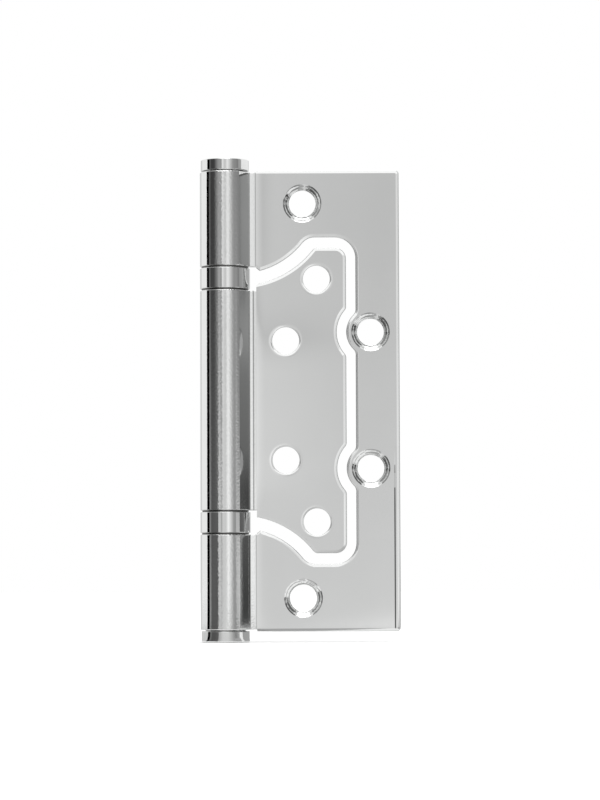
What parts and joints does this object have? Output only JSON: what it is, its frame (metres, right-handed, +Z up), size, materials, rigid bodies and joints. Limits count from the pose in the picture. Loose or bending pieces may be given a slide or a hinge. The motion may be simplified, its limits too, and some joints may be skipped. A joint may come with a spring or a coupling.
{
  "type": "non-mortise hinge",
  "caption": "Flat door hinge whose inner leaf nests in a window of the outer leaf, with curled knuckles on a capped pin, ball bearing rings and countersunk screw holes.",
  "frame": {"origin": "on the back of the outer leaf, midway between its two end screw holes", "axes": "+Z up along the pin, +Y out of the outer leaf's back face into the jamb, +X across the leaf away from the pin"},
  "size_m": [0.0517, 0.0129, 0.125],
  "materials": {
    "chrome_plate": "bright chrome plate on pressed sheet steel",
    "turned_chrome": "bright chrome plate on turned steel",
    "bearing_steel": "ground steel, dark with grease",
    "cage_brass": "plain stamped brass"
  },
  "bodies": {
    "jamb_side": {"outer_leaf": "chrome_plate", "hinge_pin": "bearing_steel", "top_end_cap": "turned_chrome", "bottom_end_cap": "turned_chrome", "upper_bearing_sleeve": "turned_chrome", "upper_bearing_fixed_race": "bearing_steel", "lower_bearing_sleeve": "turned_chrome", "lower_bearing_fixed_race": "bearing_steel"},
    "door_side": {"inner_leaf": "chrome_plate", "upper_bearing_moving_race": "bearing_steel", "upper_bearing_ball_cage": "cage_brass", "upper_bearing_balls": "bearing_steel", "lower_bearing_moving_race": "bearing_steel", "lower_bearing_ball_cage": "cage_brass", "lower_bearing_balls": "bearing_steel"}
  },
  "joints": [
    {"name": "leaf_swing", "type": "hinge", "parent": "jamb_side", "child": "door_side", "pos_m": [-0.0201, -0.00125, 0], "axis": [0, 0, -1], "range_deg": [0, 180]}
  ]
}
